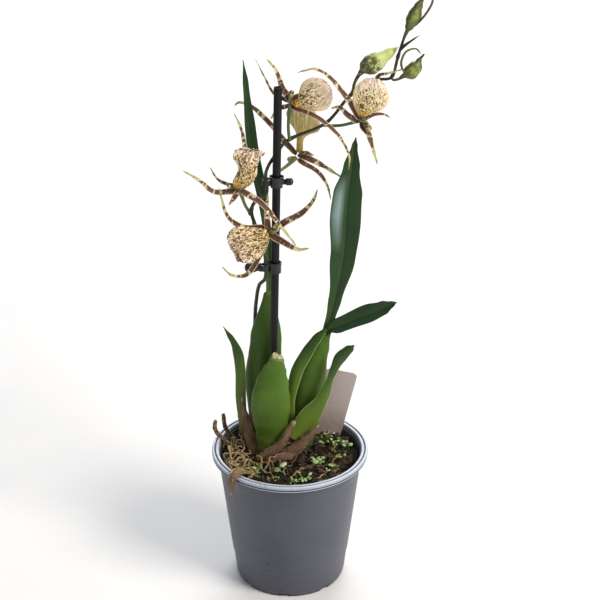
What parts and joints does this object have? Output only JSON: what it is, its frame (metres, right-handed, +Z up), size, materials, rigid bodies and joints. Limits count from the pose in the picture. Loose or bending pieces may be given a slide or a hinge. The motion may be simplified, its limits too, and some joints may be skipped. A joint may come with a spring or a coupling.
{
  "type": "potted orchid",
  "caption": "Spider-type orchid in flower with bulbs, leaves and buds, in a tapered nursery pot of bark mix, clipped to a stake.",
  "frame": {"origin": "centre of the pot's foot, on the surface it stands on", "axes": "+Z up along the pot's axis, +X to the right seen from the front, where the label is behind the right growth, +Y away from the front"},
  "size_m": [0.1721, 0.12, 0.4533],
  "materials": {
    "pot_plastic": "moulded polypropylene, semi-matt",
    "bark_mix": "damp bark and peat, rough",
    "stake_plastic": "moulded, satin",
    "clip_plastic": "moulded, satin",
    "label_card": "thin plastic card, satin",
    "bulb_flesh": "waxy live plant tissue",
    "leaf": "waxy live leaf, semi-gloss",
    "dry_sheath": "dry papery leaf base",
    "root": "dry spongy root skin",
    "spike_stem": "satin live stem",
    "flower_stalk": "satin live stalk",
    "flower_sepal": "waxy petal, blotched brown on cream",
    "flower_lip": "soft petal, cream with brown spots",
    "bud": "waxy live bud"
  },
  "bodies": {
    "root": {"bud_f": "bud", "bud_g": "bud", "bud_h": "bud", "clip_lower": "clip_plastic", "clip_upper": "clip_plastic", "dry_sheath_front": "dry_sheath", "dry_sheath_left": "dry_sheath", "dry_sheath_right": "dry_sheath", "flower_a_lip": "flower_lip", "flower_a_sepal_down": "flower_sepal", "flower_a_sepal_right": "flower_sepal", "flower_a_sepal_up": "flower_sepal", "flower_a_sepal_up_left": "flower_sepal", "flower_a_sepal_up_right": "flower_sepal", "flower_a_stalk": "flower_stalk", "flower_b_lip": "flower_lip", "flower_b_sepal_down_left": "flower_sepal", "flower_b_sepal_left": "flower_sepal", "flower_b_sepal_right": "flower_sepal", "flower_b_sepal_up": "flower_sepal", "flower_b_sepal_up_left": "flower_sepal", "flower_b_stalk": "flower_stalk", "flower_c_lip": "flower_lip", "flower_c_sepal_behind": "flower_sepal", "flower_c_sepal_down_left": "flower_sepal", "flower_c_sepal_right": "flower_sepal", "flower_c_sepal_thin_left": "flower_sepal", "flower_c_sepal_up_left": "flower_sepal", "flower_c_stalk": "flower_stalk", "flower_d_lip": "flower_lip", "flower_d_sepal_back_left": "flower_sepal", "flower_d_sepal_back_right": "flower_sepal", "flower_d_sepal_left": "flower_sepal", "flower_d_sepal_thick_right": "flower_sepal", "flower_d_sepal_thin_right": "flower_sepal", "flower_d_stalk": "flower_stalk", "flower_e_lip": "flower_lip", "flower_e_sepal_behind": "flower_sepal", "flower_e_sepal_down": "flower_sepal", "flower_e_sepal_left": "flower_sepal", "flower_e_sepal_right": "flower_sepal", "flower_e_sepal_up_left": "flower_sepal", "flower_e_stalk": "flower_stalk", "flower_spike": "spike_stem", "leaf_right_low": "leaf", "leaf_right_tall": "leaf", "leaf_sheath_middle": "leaf", "leaf_small_left": "leaf", "leaf_small_right": "leaf", "leaf_tall_left": "leaf", "plant_label": "label_card", "pot": "pot_plastic", "potting_mix": "bark_mix", "pseudobulb_back": "bulb_flesh", "pseudobulb_front": "bulb_flesh", "pseudobulb_right": "bulb_flesh", "root_clump_rim": "root", "root_stub_back": "root", "root_stub_left": "root", "stake": "stake_plastic"}
  },
  "joints": []
}
